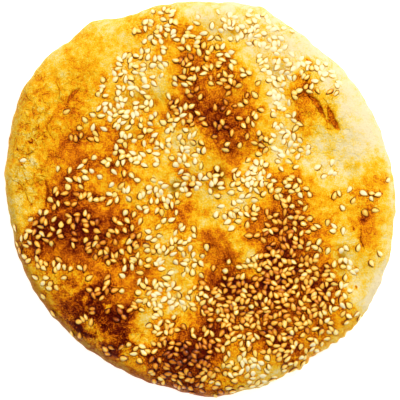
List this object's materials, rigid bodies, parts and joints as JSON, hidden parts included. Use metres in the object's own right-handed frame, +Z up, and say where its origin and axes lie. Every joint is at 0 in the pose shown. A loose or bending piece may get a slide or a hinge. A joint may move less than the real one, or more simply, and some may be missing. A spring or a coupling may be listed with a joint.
{
  "type": "shaobing",
  "caption": "Round flat leavened wheat bread, whole and uncut, with a puffed golden-brown top strewn with sesame seeds.",
  "frame": {"origin": "middle of the outline's box, on the flat base that the bread rests on", "axes": "+Z up out of the seeded top, +Y towards the top edge of the picture, +X to its right"},
  "size_m": [0.1638, 0.166, 0.02],
  "materials": {
    "baked_crust": "baked wheat crust, dull with a faint shine of oil"
  },
  "bodies": {
    "root": {"shaobing": "baked_crust"}
  },
  "joints": []
}
